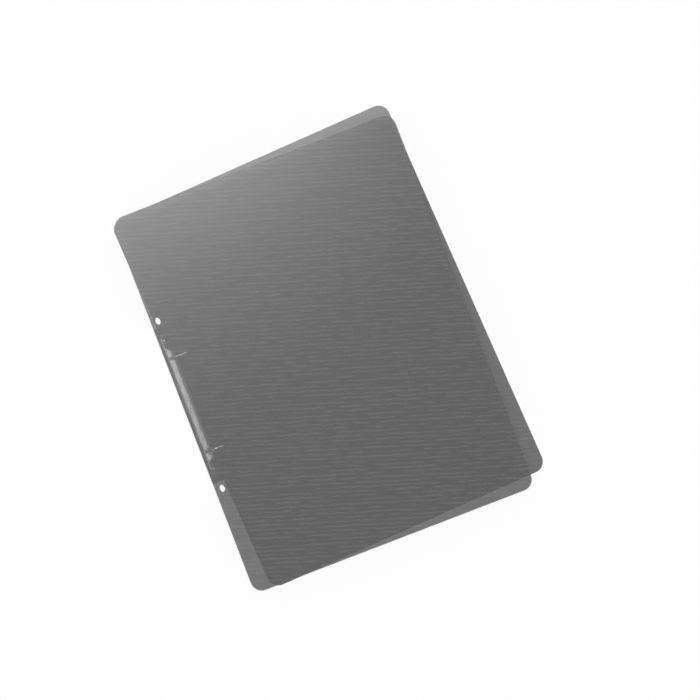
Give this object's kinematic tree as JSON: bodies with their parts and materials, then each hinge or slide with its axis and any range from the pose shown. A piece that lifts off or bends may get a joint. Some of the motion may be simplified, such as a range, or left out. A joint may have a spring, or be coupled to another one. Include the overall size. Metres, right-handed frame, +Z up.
{
  "type": "ring binder",
  "caption": "Ring binder of smoky see-through plastic sheet, closed and lying on its back cover, with an arched nickel-plated ring mechanism on its spine.",
  "frame": {"origin": "centre of the closed binder's footprint, on the surface that it lies on", "axes": "+Z up, out of the closed front cover; +Y along the spine towards the top; +X from the spine towards the open side"},
  "size_m": [0.2548, 0.3308, 0.028],
  "materials": {
    "polypropylene": "smoky see-through sheet with a soft sheen and faint drawn streaks",
    "nickel_plated_steel": "bright nickel plate"
  },
  "bodies": {
    "back": {"back_cover": "polypropylene"},
    "spine": {"spine_strip": "polypropylene", "cover_plate": "nickel_plated_steel", "rivet_top": "nickel_plated_steel", "rivet_bottom": "nickel_plated_steel"},
    "front": {"front_cover": "polypropylene"},
    "rings_upper": {"blade_upper": "nickel_plated_steel", "ring_top_upper_half": "nickel_plated_steel", "ring_bottom_upper_half": "nickel_plated_steel"},
    "rings_lower": {"blade_lower": "nickel_plated_steel", "ring_top_lower_half": "nickel_plated_steel", "ring_bottom_lower_half": "nickel_plated_steel"}
  },
  "joints": [
    {"name": "back_crease", "type": "hinge", "parent": "back", "child": "spine", "pos_m": [-0.11985, -0.00605, 0.00095], "axis": [0.0504, -0.9987, 0], "range_deg": [0, 70]},
    {"name": "front_crease", "type": "hinge", "parent": "spine", "child": "front", "pos_m": [-0.12605, -0.00445, 0.027], "axis": [0, -1, 0], "range_deg": [0, 110]},
    {"name": "rings_upper_turn", "type": "hinge", "parent": "spine", "child": "rings_upper", "pos_m": [-0.12201, -0.00445, 0.01938], "axis": [0, -1, 0], "range_deg": [0, 12]},
    {"name": "rings_lower_turn", "type": "hinge", "parent": "spine", "child": "rings_lower", "pos_m": [-0.11931, -0.00445, 0.00769], "axis": [0, 1, 0], "range_deg": [0, 12]}
  ],
  "couplings": [
    {"joint": "rings_lower_turn", "follows": "rings_upper_turn", "ratio": 1}
  ]
}
